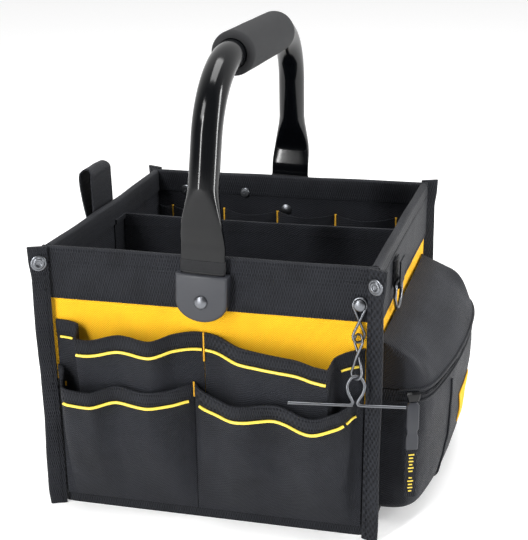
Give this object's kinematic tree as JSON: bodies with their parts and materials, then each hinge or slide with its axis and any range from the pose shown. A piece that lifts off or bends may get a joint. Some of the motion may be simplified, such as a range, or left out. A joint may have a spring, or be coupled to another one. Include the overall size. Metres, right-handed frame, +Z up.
{
  "type": "open top tool tote",
  "caption": "Square open tool bag of stiff black cloth with yellow panels, front pockets, a swinging tubular handle, a wire chain and a zipped side pouch.",
  "frame": {"origin": "middle of the underside, on the floor that the tote stands on", "axes": "+Z up, the pocketed front faces -Y, the zipped pouch is at +X"},
  "size_m": [0.3642, 0.3451, 0.4189],
  "materials": {
    "black_cloth": "woven ballistic cloth, matt",
    "black_webbing": "ribbed woven webbing, matt",
    "yellow_cloth": "plain woven cloth, matt",
    "yellow_piping": "smooth piping cord",
    "nickel_steel": "nickel plated wire and rivets",
    "black_enamel": "glossy black paint",
    "foam": "closed cell foam sleeve, matt",
    "grey_plastic": "moulded, fine grain"
  },
  "bodies": {
    "bag": {"wall_front": "black_cloth", "wall_right": "black_cloth", "wall_back": "black_cloth", "wall_left": "black_cloth", "base_panel": "black_cloth", "pocket_upper_left": "black_cloth", "pocket_upper_right": "black_cloth", "pocket_lower_left": "black_cloth", "pocket_lower_right": "black_cloth", "divider": "black_cloth", "inner_pocket": "black_cloth", "pouch_body": "black_cloth", "pouch_lid": "black_cloth", "rim_band_front": "black_webbing", "rim_band_right": "black_webbing", "rim_band_back": "black_webbing", "rim_band_left": "black_webbing", "base_binding": "black_webbing", "corner_binding_front_right": "black_webbing", "corner_binding_front_left": "black_webbing", "corner_binding_back_right": "black_webbing", "corner_binding_back_left": "black_webbing", "side_loop": "black_webbing", "ring_tab": "black_webbing", "pouch_zip": "black_webbing", "pull_ribbon": "black_webbing", "yellow_panel_front": "yellow_cloth", "yellow_panel_right": "yellow_cloth", "yellow_panel_back": "yellow_cloth", "yellow_panel_left": "yellow_cloth", "pouch_patch": "yellow_cloth", "piping_upper_left": "yellow_piping", "piping_upper_right": "yellow_piping", "piping_lower_left": "yellow_piping", "piping_lower_right": "yellow_piping", "corner_snap_right": "nickel_steel", "corner_snap_left": "nickel_steel", "handle_rivet_back": "nickel_steel", "handle_rivet_front": "nickel_steel", "back_rivet_left": "nickel_steel", "back_rivet_right": "nickel_steel", "chain_rivet": "nickel_steel", "chain_link_upper": "nickel_steel", "chain_link_lower": "nickel_steel", "chain_bar": "nickel_steel", "d_ring": "nickel_steel", "zip_slider": "nickel_steel", "zip_pull": "grey_plastic"},
    "handle": {"handle_tube": "black_enamel", "grip": "foam", "end_cap_front": "grey_plastic", "end_cap_back": "grey_plastic"}
  },
  "joints": [
    {"name": "handle_swing", "type": "hinge", "parent": "bag", "child": "handle", "pos_m": [0, 0, 0.2065], "axis": [0, 1, 0], "range_deg": [-55, 55]}
  ]
}
